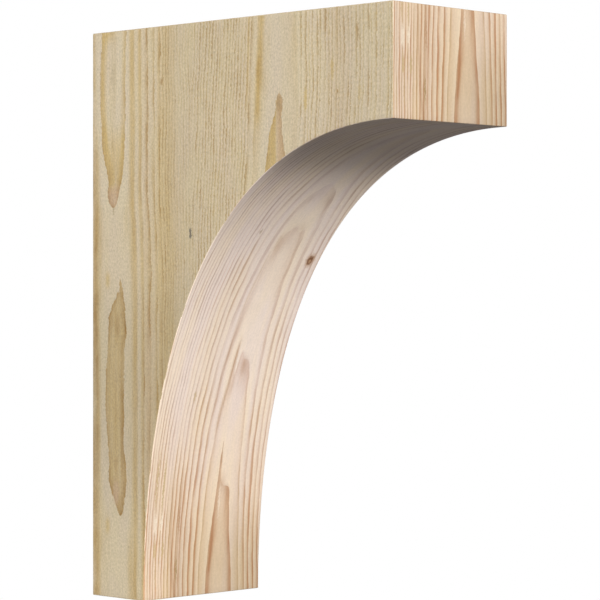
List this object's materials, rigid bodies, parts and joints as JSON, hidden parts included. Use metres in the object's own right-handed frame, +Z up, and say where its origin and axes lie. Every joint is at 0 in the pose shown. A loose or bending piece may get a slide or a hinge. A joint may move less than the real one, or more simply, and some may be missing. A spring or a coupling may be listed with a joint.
{
  "type": "timber corbel bracket",
  "caption": "Solid softwood corbel with a square nose and a concave sweep down to a narrow foot, cut flat at the back and the top to carry a shelf, beam or eave.",
  "frame": {"origin": "middle of the flat back face that goes against the wall", "axes": "+X across the width, +Y into the wall, +Z up; the corbel stands out from the wall towards -Y"},
  "size_m": [0.14, 0.358, 0.496],
  "materials": {
    "wood": "bare softwood: side faces left rough from the saw, nose and sweep cut smooth"
  },
  "bodies": {
    "root": {"corbel": "wood"}
  },
  "joints": []
}
